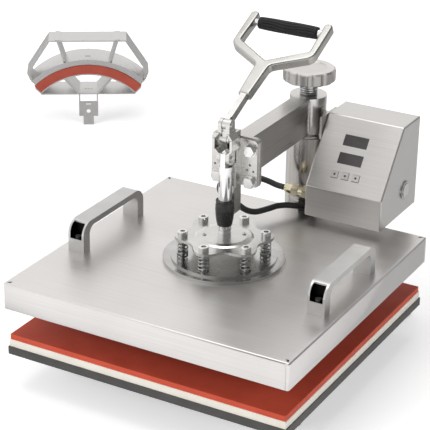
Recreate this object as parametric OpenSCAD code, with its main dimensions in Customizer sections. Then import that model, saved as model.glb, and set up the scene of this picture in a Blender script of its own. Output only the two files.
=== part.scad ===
// Swing-away heat press with a flat platen and a loose cap attachment.
// Millimetres. Origin on the floor under the centre of the platens, X to the right, Y to the post, Z up.

/* [Platens] */
// Side of the square heated platen cover
cover_w = 390; // [350:5:420]
// Height of the folded platen cover
cover_h = 35; // [28:1:45]
// Sheet thickness of the platen cover
cover_wall = 1.5; // [1:0.5:3]
// Side of the red silicone pad
pad_w = 380; // [340:5:410]
// Thickness of the red silicone pad
pad_t = 7; // [4:1:12]
// Thickness of the pale insulating layer under the pad
sponge_t = 9.5; // [6:0.5:16]
// Thickness of the dark lower plate
tray_t = 10.5; // [5:0.5:14]
// Open gap between the pad and the raised platen
open_gap = 36; // [36:1:45]
// Thickness of the heated aluminium plate
heater_t = 14; // [8:1:20]

/* [Base] */
// Height of the rubber feet
foot_h = 18; // [10:1:30]
// Diameter of the rubber feet
foot_d = 34; // [24:1:40]
// Height of the base rails
rail_h = 24; // [20:1:40]
// Width of the base rails
rail_w = 40; // [30:1:50]
// Distance from the centre to the middle of each side rail
rail_x = 137; // [125:1:137]
// Front end of the rails, measured forward of the centre
rail_front = 100; // [90:2:110]
// How far the rails reach behind the post
rail_tail = 22; // [20:2:45]
// Height of the standoffs under the lower plate
standoff_h = 7; // [7:1:12]

/* [Post and arm] */
// Distance from the rear edge of the larger platen to the axis of the post
post_y = 35; // [31:1:55]
// Outer diameter of the fixed post
post_d = 54; // [52:1:58]
// Diameter of the turning shaft inside the post
shaft_d = 40; // [34:1:42]
// Outer diameter of the arm sleeve
sleeve_d = 49; // [48:1:52]
// Width of the arm beam
beam_w = 24; // [20:1:30]
// Height of the arm beam
beam_h = 50; // [40:1:50]
// Wall of the arm beam
beam_wall = 2.5; // [2:0.5:4]
// Height of the beam underside above the top of the platen cover
beam_lift = 99; // [96:1:105]
// Running clearance of shafts and rods, on the radius
running = 0.05; // [0.02:0.01:0.09]

/* [Pressure knob] */
// Diameter of the fluted knob
knob_d = 70; // [60:1:74]
// Height of the fluted knob
knob_h = 17; // [14:1:22]
// Number of flutes around the knob
knob_flutes = 12; // [8:1:16]
// Diameter of the threaded spindle
spindle_d = 23.5; // [20:0.5:25]
// Gap between the sleeve top and the knob
knob_gap = 20; // [18:1:24]

/* [Toggle] */
// Distance of the plunger axis behind the centre of the cover
axis_y = 5; // [3:1:6]
// Height of the fixed crank pivot above the cover top
crank_z = 160; // [159:1:162]
// Length of the crank from its fixed pivot to the link pivot
crank_r = 19; // [18:0.5:19.5]
// Length of the toggle links between their pivots
link_len = 44; // [43:0.5:45]
// Diameter of the plunger rod
rod_d = 17; // [16:0.5:18]
// Diameter of the pivot pins
pin_d = 5; // [4:0.5:5.5]
// Width of the tongue on top of the plunger
tongue_w = 7; // [6:0.5:7.5]

/* [Hand lever] */
// Angle of the lever above the horizontal, pointing back
lever_angle = 26; // [24:1:30]
// Width of the flat lever bar
lever_w = 8; // [6:1:9]
// Depth of the flat lever bar
lever_d = 10; // [8:1:11]
// Half width of the hand frame at its outer corners
frame_half = 54; // [48:1:60]
// Thickness of the hand frame
frame_t = 13; // [11:1:16]
// Distance from the link pivot to the grip
grip_reach = 178; // [170:1:190]
// Largest diameter of the grip
grip_d = 17; // [15:0.5:19]
// Length of the grip
grip_len = 83; // [70:1:84]

/* [Side handles] */
// Length of each bridge handle
side_len = 142; // [120:2:160]
// Width of each bridge handle
side_w = 23; // [18:1:28]
// Height of each bridge handle
side_h = 39; // [34:1:46]
// Length of each handle foot
side_foot = 14; // [12:1:18]
// Distance from the side edge of the platen cover to the middle of each handle
side_x = 27; // [20:1:35]

/* [Control box] */
// Width of the control box
box_w = 109; // [100:1:120]
// Height of the control box
box_h = 124; // [120:1:130]
// Depth of the control box
box_d = 112; // [108:1:120]
// Height of the upright part of the front
box_front_h = 43; // [38:1:48]
// Depth of the flat top
box_top_d = 50; // [46:1:54]
// Sheet thickness of the control box
box_wall = 1.5; // [1:0.5:2.5]
// Width of each display window
window_w = 34; // [28:1:38]
// Height of each display window
window_h = 15.4; // [12:0.2:17]
// Side of each square key
key_w = 9; // [7:0.5:10]
// Travel of the keys
key_travel = 1; // [0.5:0.1:1.5]
// Diameter of the power button
power_d = 19; // [15:1:22]

/* [Springs] */
// Pitch radius of the six suspension bolts
bolt_circle = 52; // [50:1:53]
// Diameter of the suspension bolts
bolt_d = 6; // [5:0.5:7]
// Outer diameter of the springs
spring_d = 14.6; // [13:0.2:15]
// Wire diameter of the springs
spring_wire = 2; // [1.5:0.1:2.2]
// Number of spring turns
spring_turns = 5; // [4:1:6]

/* [Cap attachment] */
// Overall half width of the cap attachment across its bridge straps
cap_half = 105; // [100:1:110]
// Depth of the cap attachment
cap_depth = 61; // [54:1:68]
// Outer radius of the curved red pad
cap_r = 132; // [128:1:138]
// Thickness of the curved red pad
cap_pad_t = 15.5; // [12:0.5:18]
// Height of the top of the curved pad above its base plate
cap_rise = 53; // [50:1:56]
// Height of the stem under the base plate
cap_stem_h = 56; // [50:1:64]
// Width of the stem
cap_stem_w = 33; // [28:1:38]
// Place of the cap attachment to the left of the centre
cap_x = 628; // [600:4:660]
// Place of the cap attachment behind the centre
cap_y = 644; // [620:4:680]
// Turn of the cap attachment about the vertical
cap_turn = 33; // [0:1:45]

/* [Hidden] */
$fn = 64;
big = 600;
air = 0.3;

// Levels from the floor upwards
rail_top = foot_h + rail_h;
handle_x = cover_w / 2 - side_x;
tray_z = rail_top + standoff_h;
sponge_z = tray_z + tray_t;
pad_z = sponge_z + sponge_t;
pad_top = pad_z + pad_t;
cover_z = pad_top + open_gap;
cover_top = cover_z + cover_h;
tray_w = pad_w + 5;
platen_rear = max(cover_w, tray_w) / 2;
post_axis = platen_rear + post_y;
rail_rear = post_axis + rail_tail;
sponge_w = pad_w + 2;

// Base and post
cross_d = 50;
front_cross_y = 0;
foot_inset = 10;
foot_out = 6.5;
standoff_d = 20;
standoff_y = [-75, 150];
screw_d = 6;
flange_w = 90;
flange_d = 50;
flange_t = 6;
post_bore = 46;
beam_z = cover_top + beam_lift;
sleeve_top = beam_z + beam_h;
post_top = beam_z - 6;
bush_lip = 3;
bush_lip_d = 50;
bush_len = 30;
shaft_foot = rail_top + air;
cap_plate_t = 7;
cap_plate_z = sleeve_top - cap_plate_t;
shaft_top = cap_plate_z - 3;
spindle_tip_d = 12;
spindle_tip = 10;
thread_pitch = 3;
thread_depth = 1.2;
knob_z = sleeve_top + knob_gap;
shaft_key_w = 6;
shaft_key_h = 22;
shaft_key_t = 4.5;
shaft_key_z = sleeve_top - 42;
key_slot_y = post_axis + shaft_d / 2 + 1.5;

// Toggle and clamp
p2 = cover_top + crank_z;
p1 = p2 + crank_r;
p3 = p1 - link_len;
pin_r = pin_d / 2;
fork_in = 3.3;
fork_out = 6;
fork_r = 5;
ear_in = 3.3;
ear_out = 8.2;
ear_r = 7;
foot_ear_in = tongue_w / 2 + air;
foot_ear_out = 8.5;
foot_ear_r = 8;
crank_t = 6;
strap_t = 3;
strap_out = 13.5;
strap_half_d = 10;
slope_half_d = 8.5;
bulge_top = 17;
bulge_bottom = 31;
flange_y = 27;
clamp_t = 4;
clamp_z0 = beam_z - 5;
clamp_z1 = beam_z + 56;
clamp_half = 32;
clamp_r = 5;
wall_in = 7;
wall_out = 10;
wall_y = axis_y + rod_d / 2 + 0.5;
end_plate_t = 5;
end_plate_y = flange_y + clamp_t;
end_plate_rear = end_plate_y + end_plate_t;
end_plate_half = 33.5;
clamp_bolt_x = 22.5;
clamp_bolt_z = [beam_z + 1, beam_z + 43];
clamp_bolt_d = 8;
barrel_z0 = cover_top + 46;
barrel_h = 33;
barrel_r = 12;
rod_foot = cover_top + 31;
tongue_base = p3 - 10.5;
tongue_top = p3 + 8;

// Suspension
disc_r = 77;
disc_t = 3.5;
ring_r = 67;
ring_t = 2.5;
ring_top = cover_top + disc_t + ring_t;
star_z = cover_top + 26.6;
star_t = 3.4;
star_top = star_z + star_t;
star_mean = 55;
star_wave = 7;
hub_r = 37;
hub_t = 2.4;
hub_screw_r = 25;
hub_screw_turn = 33;
bolt_head_d = 12.9;
bolt_head_h = 6.4;
bolt_turn = 30;

// Control box
box_x = 36;
box_y = post_axis - 74;
box_z = cover_top + 9;
box_top = box_z + box_h;
slope_dy = box_d - box_top_d;
slope_dz = box_h - box_front_h;
slope_angle = atan2(slope_dz, slope_dy);
window_x = 50;
window_y = [45.7, 70.5];
key_x = [35.3, 50.2, 65.3];
key_y = 22.6;
key_out = 1.2;
key_in = 4;
glass_front = -0.5;
glass_back = -2.5;
board_z = -6.4;
power_y = box_y + 74;
power_z = cover_top + 42;
power_bezel_d = 25;
gland_y = box_y + 12;
gland_z = cover_top + 36;
gland_tip_x = 1.5;
inlet_x = 74;
inlet_z = box_z + 34;
inlet_w = 28;
inlet_h = 20;

// Cable route from the gland to the entry hood on the cover, points chosen by hand
cable_d = 8;
cable_sides = 10;
cable_route = [
    [1.5, 168, 183], [-12, 168, 184], [-26, 166, 188], [-40, 162, 191], [-54, 156, 192],
    [-66, 147, 191], [-73, 135, 188], [-73, 123, 185], [-65, 113, 181], [-52, 108, 179],
    [-39, 106, 175], [-26, 109, 167], [-16, 118, 163], [-8, 136, 162], [-1, 152, 162],
    [8, 163, 161], [18, 171, 159], [23, 178, 157], [24, 183, 157]
];
hood_x = 24;
hood_d = 12;
hood_y = cover_w / 2 - hood_d;
hood_h = 17;
hood_w = 20;

// Hand frame, distances along the lever from the link pivot
arm_r = 5.75;
bar_start = 9;
bar_end = 76;
neck_start = 50;
neck_end = 103.1;
notch_y = 110.7;
corner_y = 137;
corner_r = 15.5;
corner_turn = [-58.5, 2.3];

// Cap attachment, in its own frame: X across, front towards -Y, floor at zero
cap_chord = 92.5;
cap_centre = cap_stem_h + cap_rise - cap_r;
cap_angle = asin(cap_chord / cap_r);
cap_sheet = 2;
cap_lip = 12;
cap_inner = cap_r - cap_pad_t;
cap_band_t = 8;
cap_shell_t = 2;
cap_shell_r = cap_r + air + cap_band_t + cap_shell_t;
cap_front = -cap_depth / 2;
cap_bridge_half = 67;
cap_bridge_z = cap_stem_h + cap_rise + 41;
cap_strap_z = cap_stem_h + 38;
cap_strut_x = 39;
cap_strut_top = 50;
cap_tab = [46, 56];
cap_arm_t = 4.4;
cap_arm_run = [40, 45];
cap_tongue_w = 18;
cap_tongue_h = 16;
cap_web_top = 43;
cap_stem_d = 22;

module slab(w, z, h) {
    translate([-w / 2, -w / 2, z]) cube([w, w, h]);
}

module block(x0, x1, y0, y1, z0, z1) {
    translate([x0, y0, z0]) cube([x1 - x0, y1 - y0, z1 - z0]);
}

module plate(x, y, w, d, z0, z1) {
    block(x - w / 2, x + w / 2, y - d / 2, y + d / 2, z0, z1);
}

module rod_x(x0, x1, y, z, r) {
    translate([x0, y, z]) rotate([0, 90, 0]) cylinder(r = r, h = x1 - x0);
}

module rod_y(x, y0, y1, z, r) {
    translate([x, y0, z]) rotate([-90, 0, 0]) cylinder(r = r, h = y1 - y0);
}

module at_corners(at) {
    for (sx = [-1, 1], sy = [-1, 1]) translate([sx * at, sy * at, 0]) children();
}

module sides() {
    children();
    mirror([1, 0, 0]) children();
}

// Base

module base_frame() color([0.2, 0.2, 0.21]) {
    difference() {
        union() {
            sides() block(rail_x - rail_w / 2, rail_x + rail_w / 2, -rail_front, rail_rear, foot_h, rail_top);
            for (y = [front_cross_y, post_axis]) plate(0, y, 2 * rail_x, cross_d, foot_h, rail_top);
        }
        post_bolt_places() translate([0, 0, foot_h - 1]) cylinder(d = screw_d, h = rail_h + 2);
    }
}

module foot_places() {
    for (sx = [-1, 1], y = [foot_inset - rail_front, rail_rear - foot_inset])
        translate([sx * (rail_x + foot_out), y, 0]) children();
    translate([0, front_cross_y, 0]) children();
}

module rubber_feet() color([0.08, 0.08, 0.08]) foot_places() {
    rotate_extrude()
        polygon([[0, 0], [foot_d / 2 - 3, 0], [foot_d / 2, 3], [foot_d / 2, foot_h], [0, foot_h]]);
}

module tray_standoffs() color([0.6, 0.6, 0.6])
    for (sx = [-1, 1], y = standoff_y)
        translate([sx * rail_x, y, rail_top]) cylinder(d = standoff_d, h = standoff_h);

module lower_tray() color([0.12, 0.12, 0.12]) slab(tray_w, tray_z, tray_t);

module sponge_layer() color([0.92, 0.9, 0.84]) slab(sponge_w, sponge_z, sponge_t);

module silicone_pad() color([0.66, 0.2, 0.15]) slab(pad_w, pad_z, pad_t);

// Post

module post_bolt_places() {
    for (sx = [-1, 1], sy = [-1, 1])
        translate([sx * (flange_w / 2 - 9), post_axis + sy * (flange_d / 2 - 8), 0]) children();
}

module post() color([0.72, 0.71, 0.7]) difference() {
    union() {
        translate([0, post_axis, rail_top]) cylinder(d = post_d, h = post_top - rail_top);
        plate(0, post_axis, flange_w, flange_d, rail_top, rail_top + flange_t);
    }
    translate([0, post_axis, rail_top - 1]) cylinder(d = post_bore, h = post_top);
    post_bolt_places() translate([0, 0, rail_top - 1]) cylinder(d = screw_d, h = flange_t + 2);
}

module post_bolts() color([0.5, 0.5, 0.5]) post_bolt_places() {
    translate([0, 0, foot_h]) cylinder(d = screw_d, h = rail_h + flange_t);
    translate([0, 0, rail_top + flange_t]) cylinder(d = screw_d * 1.7, h = 5, $fn = 6);
}

module post_bushes() color([0.75, 0.62, 0.36]) translate([0, post_axis, 0]) difference() {
    union() {
        translate([0, 0, rail_top]) cylinder(d = post_bore, h = bush_len);
        translate([0, 0, post_top - bush_len]) cylinder(d = post_bore, h = bush_len);
        translate([0, 0, post_top]) cylinder(d = bush_lip_d, h = bush_lip);
    }
    translate([0, 0, rail_top - 1]) cylinder(r = shaft_d / 2 + running, h = post_top);
}

module key_slot() {
    block(-shaft_key_w / 2, shaft_key_w / 2, key_slot_y - shaft_key_t, key_slot_y,
        shaft_key_z, shaft_key_z + shaft_key_h);
}

module swing_shaft() color([0.78, 0.78, 0.79]) difference() {
    translate([0, post_axis, shaft_foot]) cylinder(d = shaft_d, h = shaft_top - shaft_foot);
    key_slot();
    translate([0, post_axis, shaft_top - spindle_tip])
        cylinder(r = spindle_tip_d / 2 + running, h = spindle_tip + 1);
}

module shaft_key() color([0.45, 0.45, 0.46]) key_slot();

// Knob

module knob() color([0.78, 0.76, 0.75]) translate([0, post_axis, knob_z]) difference() {
    rotate_extrude() polygon([
        [0, 0], [knob_d / 2 - 1.5, 0], [knob_d / 2, 1.5], [knob_d / 2, knob_h - 2], [knob_d / 2 - 2, knob_h],
        [knob_d * 0.35, knob_h], [knob_d * 0.34, knob_h - 0.8], [0, knob_h - 0.8]
    ]);
    for (i = [0 : knob_flutes - 1]) rotate([0, 0, i * 360 / knob_flutes])
        translate([knob_d / 2 + 4.5, 0, -1]) cylinder(r = 7, h = knob_h + 2);
}

function thread_profile(z0, z1, r) = [
    for (z = [z0 : thread_pitch : z1 - thread_pitch]) each [
        [r, z], [r, z + thread_pitch * 0.3],
        [r - thread_depth, z + thread_pitch * 0.5], [r, z + thread_pitch * 0.8]
    ]
];

module spindle() color([0.6, 0.58, 0.57]) translate([0, post_axis, 0]) {
    tip_z = shaft_top - spindle_tip + air;
    shoulder = shaft_top + 0.2;
    rotate_extrude() polygon(concat(
        [[0, tip_z], [spindle_tip_d / 2, tip_z], [spindle_tip_d / 2, shoulder]],
        thread_profile(shoulder, knob_z, spindle_d / 2),
        [[spindle_d / 2, knob_z], [0, knob_z]]
    ));
}

// Arm

module arm_sleeve() color([0.7, 0.69, 0.68]) difference() {
    translate([0, post_axis, beam_z]) cylinder(d = sleeve_d, h = beam_h);
    translate([0, post_axis, beam_z - 1]) cylinder(r = shaft_d / 2 + running, h = beam_h + 2);
    block(-shaft_key_w / 2 - running, shaft_key_w / 2 + running, post_axis, key_slot_y + 0.2,
        beam_z - 1, cap_plate_z - 2);
}

module sleeve_cap() color([0.72, 0.71, 0.7]) translate([0, post_axis, cap_plate_z]) difference() {
    cylinder(r = shaft_d / 2 + running, h = cap_plate_t);
    translate([0, 0, -1]) cylinder(r = spindle_d / 2 + 0.25, h = cap_plate_t + 2);
}

module arm_beam() color([0.72, 0.71, 0.7]) difference() {
    block(-beam_w / 2, beam_w / 2, end_plate_rear, post_axis, beam_z, beam_z + beam_h);
    block(-beam_w / 2 + beam_wall, beam_w / 2 - beam_wall, end_plate_y, post_axis,
        beam_z + beam_wall, beam_z + beam_h - beam_wall);
    translate([0, post_axis, beam_z - 1]) cylinder(d = sleeve_d, h = beam_h + 2);
}

module clamp_bolt_places() {
    for (sx = [-1, 1], z = clamp_bolt_z) translate([sx * clamp_bolt_x, 0, z]) children();
}

module rounded_plate(half, y0, y1, z0, z1, r) {
    block(-half, half, y0, y1, z0 + r, z1 - r);
    block(r - half, half - r, y0, y1, z0, z1);
    sides() for (z = [z0 + r, z1 - r]) rod_y(half - r, y0, y1, z, r);
}

module arm_end_plate() color([0.66, 0.65, 0.64]) difference() {
    rounded_plate(end_plate_half, end_plate_y, end_plate_rear, clamp_z0 - 2, clamp_z1 + 1.5, clamp_r + 1.5);
    clamp_bolt_places() rod_y(0, end_plate_y - 1, end_plate_rear + 1, 0, clamp_bolt_d / 2);
}

module clamp_bracket() color([0.62, 0.61, 0.6]) difference() {
    union() {
        rounded_plate(clamp_half, flange_y, end_plate_y, clamp_z0, clamp_z1, clamp_r);
        sides() block(wall_in, wall_out, wall_y, flange_y, clamp_z0, clamp_z1);
        sides() block(fork_in, fork_out, wall_y, end_plate_y, p2 - 22, p2 + fork_r);
        sides() block(fork_in, fork_out, axis_y, wall_y, p2 - fork_r, p2 + fork_r);
        sides() rod_x(fork_in, fork_out, axis_y, p2, fork_r);
        sides() block(fork_in, wall_in, wall_y, flange_y, p2 - 22, clamp_z1);
        block(-8, 8, axis_y + 4, end_plate_y, barrel_z0 + 12, clamp_z0);
        block(-fork_in, fork_in, flange_y, end_plate_y, clamp_z1, p2 + fork_r);
    }
    rod_x(-big / 2, big / 2, axis_y, p2, pin_r);
    translate([0, axis_y, cover_top]) cylinder(r = barrel_r, h = clamp_z0 - cover_top + 1);
    clamp_bolt_places() rod_y(0, flange_y - 1, end_plate_y + 1, 0, clamp_bolt_d / 2);
    sides() for (p = [[22, 23], [18, 16], [27, 15.5]])
        rod_y(p[0], flange_y - 1, end_plate_y + 1, beam_z + p[1], 1.6);
}

module clamp_bolts() color([0.82, 0.82, 0.82]) clamp_bolt_places() {
    nut_y = end_plate_rear;
    rod_y(0, flange_y - 1.5, nut_y + 8, 0, clamp_bolt_d / 2);
    rod_y(0, flange_y - 1.5, flange_y, 0, 8.5);
    translate([0, flange_y - 6.5, 0]) rotate([-90, 0, 0]) cylinder(r = 7.5, h = 5, $fn = 6);
    translate([0, nut_y, 0]) rotate([-90, 0, 0]) difference() {
        cylinder(r = 7.5, h = 6, $fn = 6);
        translate([0, 0, -1]) cylinder(d = clamp_bolt_d - 1, h = 8);
    }
}

module pivot_pin() color([0.8, 0.8, 0.8]) {
    rod_x(-7.3, 7.3, axis_y, p2, pin_r);
    sides() rod_x(fork_out, 7.3, axis_y, p2, 3.5);
}

module rod_barrel() color([0.06, 0.06, 0.06]) translate([0, axis_y, barrel_z0]) rotate_extrude() polygon([
    [rod_d / 2 + running, 0], [9.4, 0], [10.4, 5], [11.5, 13], [barrel_r, 21], [11.7, 27], [10.9, 31],
    [11.4, 31.2], [11.4, barrel_h], [rod_d / 2 + running, barrel_h]
]);

// Control box

module on_panel() {
    translate([box_x, box_y, box_z + box_front_h]) rotate([slope_angle, 0, 0]) children();
}

module box_side(inset) {
    polygon([
        [inset, inset], [box_d + (inset > 0 ? 1 : 0), inset], [box_d + (inset > 0 ? 1 : 0), box_h - inset],
        [slope_dy + inset * tan(slope_angle / 2), box_h - inset],
        [inset, box_front_h - inset * tan((90 - slope_angle) / 2)]
    ]);
}

module box_solid(inset) {
    translate([box_x + inset, box_y, box_z]) rotate([90, 0, 90])
        linear_extrude(box_w - 2 * inset) box_side(inset);
}

module box_shell() color([0.76, 0.75, 0.74]) difference() {
    box_solid(0);
    box_solid(box_wall);
    on_panel() {
        for (y = window_y) plate(window_x, y, window_w, window_h, -3, 3);
        for (x = key_x) plate(x, key_y, key_w + 2 * air, key_w + 2 * air, -3, 3);
    }
    rod_x(box_x + box_w - 5, box_x + box_w + 5, power_y, power_z, power_bezel_d / 2 - 2);
    rod_x(box_x - 5, box_x + 5, gland_y, gland_z, 6);
    back_screw_places() rod_y(0, box_y + box_d - 12, box_y + box_d + 1, 0, 1.6);
}

module back_screw_places() {
    for (x = [box_x + 8, box_x + box_w - 8], z = [box_z + 8, box_top - 8]) translate([x, 0, z]) children();
}

module inlet_block(grow, y0, y1) {
    block(inlet_x - inlet_w / 2 - grow, inlet_x + inlet_w / 2 + grow, y0, y1,
        inlet_z - inlet_h / 2 - grow, inlet_z + inlet_h / 2 + grow);
}

module box_back() color([0.7, 0.69, 0.68]) difference() {
    block(box_x + box_wall, box_x + box_w - box_wall, box_y + box_d - box_wall, box_y + box_d,
        box_z + box_wall, box_top - box_wall);
    inlet_block(0, box_y, box_y + box_d + 1);
    back_screw_places() rod_y(0, box_y + box_d - 5, box_y + box_d + 1, 0, 1.6);
}

module box_screws() color([0.5, 0.5, 0.5]) back_screw_places() {
    rod_y(0, box_y + box_d - 8, box_y + box_d, 0, 1.6);
    rod_y(0, box_y + box_d, box_y + box_d + 1.8, 0, 3.2);
}

module display_windows() color([0.2, 0.2, 0.2]) on_panel()
    for (y = window_y) plate(window_x, y, window_w, window_h, glass_back, glass_front);

module circuit_board() color([0.1, 0.35, 0.18]) on_panel() {
    block(12, box_w - 12, 14, 90, board_z - 1.6, board_z);
    for (y = window_y) plate(window_x, y, window_w - 2, window_h - 2, board_z, glass_back);
    for (x = key_x) plate(x, key_y, 6, 6, board_z, -key_in - key_travel - 0.1);
    for (x = [16, box_w - 16], y = [20, 84])
        translate([x, y, board_z]) cylinder(r = 3, h = -board_z - box_wall);
}

module key(i) color([0.86, 0.86, 0.85]) on_panel() {
    plate(key_x[i], key_y, key_w, key_w, -box_wall, key_out);
    plate(key_x[i], key_y, 5, 5, -key_in, -box_wall);
}

module power_bezel() color([0.8, 0.8, 0.8]) difference() {
    union() {
        rod_x(box_x + box_w, box_x + box_w + 2, power_y, power_z, power_bezel_d / 2);
        rod_x(box_x + box_w - 14, box_x + box_w, power_y, power_z, power_bezel_d / 2 - 2);
    }
    rod_x(box_x + box_w - 12, box_x + box_w + 5, power_y, power_z, power_d / 2 + 0.2);
}

module power_button() color([0.72, 0.72, 0.72])
    rod_x(box_x + box_w - 8, box_x + box_w + 2.6, power_y, power_z, power_d / 2);

module cable_gland() color([0.78, 0.7, 0.5]) {
    face = box_x;
    rod_x(face, face + 8, gland_y, gland_z, 6);
    translate([face + box_wall, gland_y, gland_z]) rotate([0, 90, 0]) difference() {
        cylinder(r = 10, h = 4, $fn = 6);
        translate([0, 0, -1]) cylinder(r = 5.9, h = 6);
    }
    translate([face - 7, gland_y, gland_z]) rotate([0, 90, 0]) cylinder(r = 9.5, h = 7, $fn = 6);
    rod_x(face - 14, face - 7, gland_y, gland_z, 7.2);
    translate([face - 23, gland_y, gland_z]) rotate([0, 90, 0]) cylinder(r = 9, h = 9, $fn = 6);
    translate([gland_tip_x, gland_y, gland_z]) rotate([0, 90, 0]) rotate_extrude()
        polygon([[0, 0], [5.2, 0], [7, 4], [7.4, face - 23 - gland_tip_x], [0, face - 23 - gland_tip_x]]);
}

module power_inlet() color([0.05, 0.05, 0.05]) {
    back = box_y + box_d;
    difference() {
        union() {
            inlet_block(0, back - 18, back);
            inlet_block(3, back, back + 2.5);
        }
        inlet_block(-2, back - 15, back + 5);
    }
    for (p = [[-7, -2], [0, 3], [7, -2]])
        translate([inlet_x + p[0], back - 15, inlet_z + p[1]]) block(-1, 1, 0, 12, -2, 2);
}

module box_bracket() color([0.7, 0.69, 0.68]) difference() {
    union() {
        block(0, box_x, post_axis - 3, post_axis + 3, beam_z + 2, box_top - 4);
        block(box_x - 3, box_x, post_axis - 31, post_axis + 14, beam_z + 2, box_top - 1);
    }
    translate([0, post_axis, beam_z - 1]) cylinder(d = sleeve_d, h = box_top - beam_z + 10);
}

// Cable

function path_dir(p, i) = let (
    a = p[max(i - 1, 0)],
    b = p[min(i + 1, len(p) - 1)]
) (b - a) / norm(b - a);
function end_dir(p, i, first, last) = i == 0 ? first : (i == len(p) - 1 ? last : path_dir(p, i));
function ring(c, d, r, n) = let (
    u = cross([0, 0, 1], d) / norm(cross([0, 0, 1], d)),
    v = cross(d, u)
) [for (k = [0 : n - 1]) c + r * (cos(360 * k / n) * u + sin(360 * k / n) * v)];
function tube_faces(m, n) = concat(
    [[for (k = [0 : n - 1]) k]],
    [for (i = [0 : m - 2], k = [0 : n - 1]) each [
        [i * n + k, (i + 1) * n + k, (i + 1) * n + (k + 1) % n],
        [i * n + k, (i + 1) * n + (k + 1) % n, i * n + (k + 1) % n]
    ]],
    [[for (k = [n - 1 : -1 : 0]) (m - 1) * n + k]]
);

module tube(p, r, n, first, last) {
    polyhedron(
        points = [for (i = [0 : len(p) - 1]) each ring(p[i], end_dir(p, i, first, last), r, n)],
        faces = tube_faces(len(p), n)
    );
}

module heater_cable() color([0.05, 0.05, 0.05])
    tube(cable_route, cable_d / 2, cable_sides, [-1, 0, 0], [0, 1, 0]);

// Hand lever

module on_lever() {
    translate([0, axis_y, p1]) rotate([lever_angle, 0, 0]) children();
}

module lever() color([0.78, 0.78, 0.77]) difference() {
    union() {
        rod_x(-crank_t / 2, crank_t / 2, axis_y, p1, ear_r - 0.5);
        rod_x(-crank_t / 2, crank_t / 2, axis_y, p2, fork_r + 0.5);
        block(-crank_t / 2, crank_t / 2, axis_y - 4, axis_y + 4, p2, p1);
        on_lever() block(-crank_t / 2, crank_t / 2, 0, 12, -lever_d / 2, lever_d / 2);
        on_lever() block(-lever_w / 2, lever_w / 2, bar_start, bar_end, -lever_d / 2, lever_d / 2);
    }
    rod_x(-big / 2, big / 2, axis_y, p1, pin_r + running);
    rod_x(-big / 2, big / 2, axis_y, p2, pin_r + running);
}

function arc(c, r, a0, a1, n) = [
    for (i = [0 : n]) let (a = a0 + (a1 - a0) * i / n) c + r * [cos(a), sin(a)]
];

module hand_outline() {
    middle = (corner_turn[0] + corner_turn[1]) / 2;
    inset = (corner_r - arm_r) / cos((corner_turn[1] - corner_turn[0]) / 2);
    corner = [frame_half, corner_y] - inset * [cos(middle), sin(middle)];
    tip = [frame_half - 2, grip_reach + 8];
    half = concat(
        [[7.5, neck_start], [9.6, neck_end]],
        arc(corner, corner_r, corner_turn[0], corner_turn[1], 8),
        arc(tip, arm_r, corner_turn[1], corner_turn[1] + 180, 8),
        arc(corner, corner_r - 2 * arm_r, corner_turn[1], corner_turn[0], 6)
    );
    polygon(concat(half, [[0, notch_y]], [for (i = [len(half) - 1 : -1 : 0]) [-half[i][0], half[i][1]]]));
}

module hand_frame() color([0.8, 0.79, 0.77]) on_lever() difference() {
    translate([0, 0, -frame_t / 2]) linear_extrude(frame_t) hand_outline();
    block(-lever_w / 2, lever_w / 2, neck_start - 10, bar_end, -lever_d / 2, lever_d / 2);
    rod_x(-frame_half, frame_half, grip_reach, 0, 5);
}

module grip_rod() color([0.85, 0.85, 0.85]) on_lever() rod_x(-frame_half, frame_half, grip_reach, 0, 5);

module grip() color([0.07, 0.07, 0.07]) on_lever()
    translate([-grip_len / 2, grip_reach, 0]) rotate([0, 90, 0]) rotate_extrude() polygon([
        [5, 0], [grip_d / 2 - 1.5, 0], [grip_d / 2 - 0.5, 1.5],
        [grip_d / 2, grip_len * 0.3], [grip_d / 2, grip_len * 0.7],
        [grip_d / 2 - 0.5, grip_len - 1.5], [grip_d / 2 - 1.5, grip_len], [5, grip_len]
    ]);

// Links

module link_slope(points) {
    translate([0, axis_y + slope_half_d, p1]) rotate([90, 0, 0])
        linear_extrude(2 * slope_half_d) polygon(points);
}

module link_half() color([0.8, 0.79, 0.78]) difference() {
    union() {
        rod_x(ear_in, ear_out, axis_y, p1, ear_r);
        block(ear_in, ear_out, axis_y - ear_r, axis_y + ear_r, p1 - 10, p1);
        link_slope([
            [ear_out - strap_t, -10], [ear_out, -10],
            [strap_out, -bulge_top], [strap_out - strap_t, -bulge_top]
        ]);
        block(strap_out - strap_t, strap_out, axis_y - strap_half_d, axis_y + strap_half_d,
            p1 - bulge_bottom, p1 - bulge_top);
        link_slope([
            [strap_out - strap_t, -bulge_bottom], [strap_out, -bulge_bottom],
            [foot_ear_out, 8 - link_len], [foot_ear_in + 1.2, 8 - link_len]
        ]);
        block(foot_ear_in, foot_ear_out, axis_y - foot_ear_r, axis_y + foot_ear_r, p3, p3 + 8);
        rod_x(foot_ear_in, foot_ear_out, axis_y, p3, foot_ear_r);
    }
    rod_x(0, big, axis_y, p1, pin_r);
    rod_x(0, big, axis_y, p3, pin_r);
}

module link_right() link_half();

module link_left() mirror([1, 0, 0]) link_half();

module link_pins() color([0.85, 0.85, 0.85]) {
    rod_x(-ear_out - 1.6, ear_out + 1.6, axis_y, p1, pin_r);
    sides() {
        rod_x(ear_out, ear_out + 1.6, axis_y, p1, 4);
        rod_x(foot_ear_in, foot_ear_out + 1.6, axis_y, p3, pin_r);
        rod_x(foot_ear_out, foot_ear_out + 1.6, axis_y, p3, 4);
    }
}

// Plunger

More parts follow.
